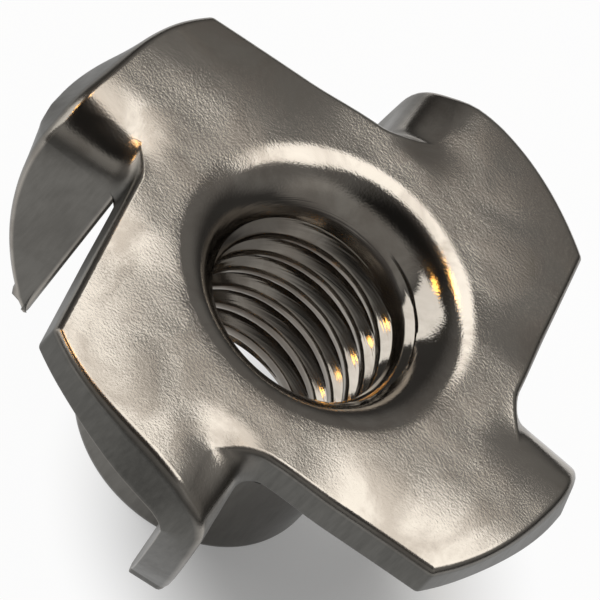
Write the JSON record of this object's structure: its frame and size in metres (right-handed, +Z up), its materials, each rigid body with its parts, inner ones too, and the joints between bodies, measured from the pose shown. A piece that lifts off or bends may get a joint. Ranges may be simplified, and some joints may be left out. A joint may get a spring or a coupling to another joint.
{
  "type": "tee nut",
  "caption": "Pressed steel tee nut: pinwheel flange, leaf-shaped prongs folded down from its rim, drawn threaded barrel with a rounded mouth.",
  "frame": {"origin": "centre of the barrel's flat end, on which the nut stands", "axes": "+Z up the barrel's axis to the flat top of the flange; the flange's corners lie halfway between the X and Y axes"},
  "size_m": [0.022, 0.022, 0.0103],
  "materials": {
    "steel": "electropolished, finely grained"
  },
  "bodies": {
    "root": {"tee_nut": "steel"}
  },
  "joints": []
}
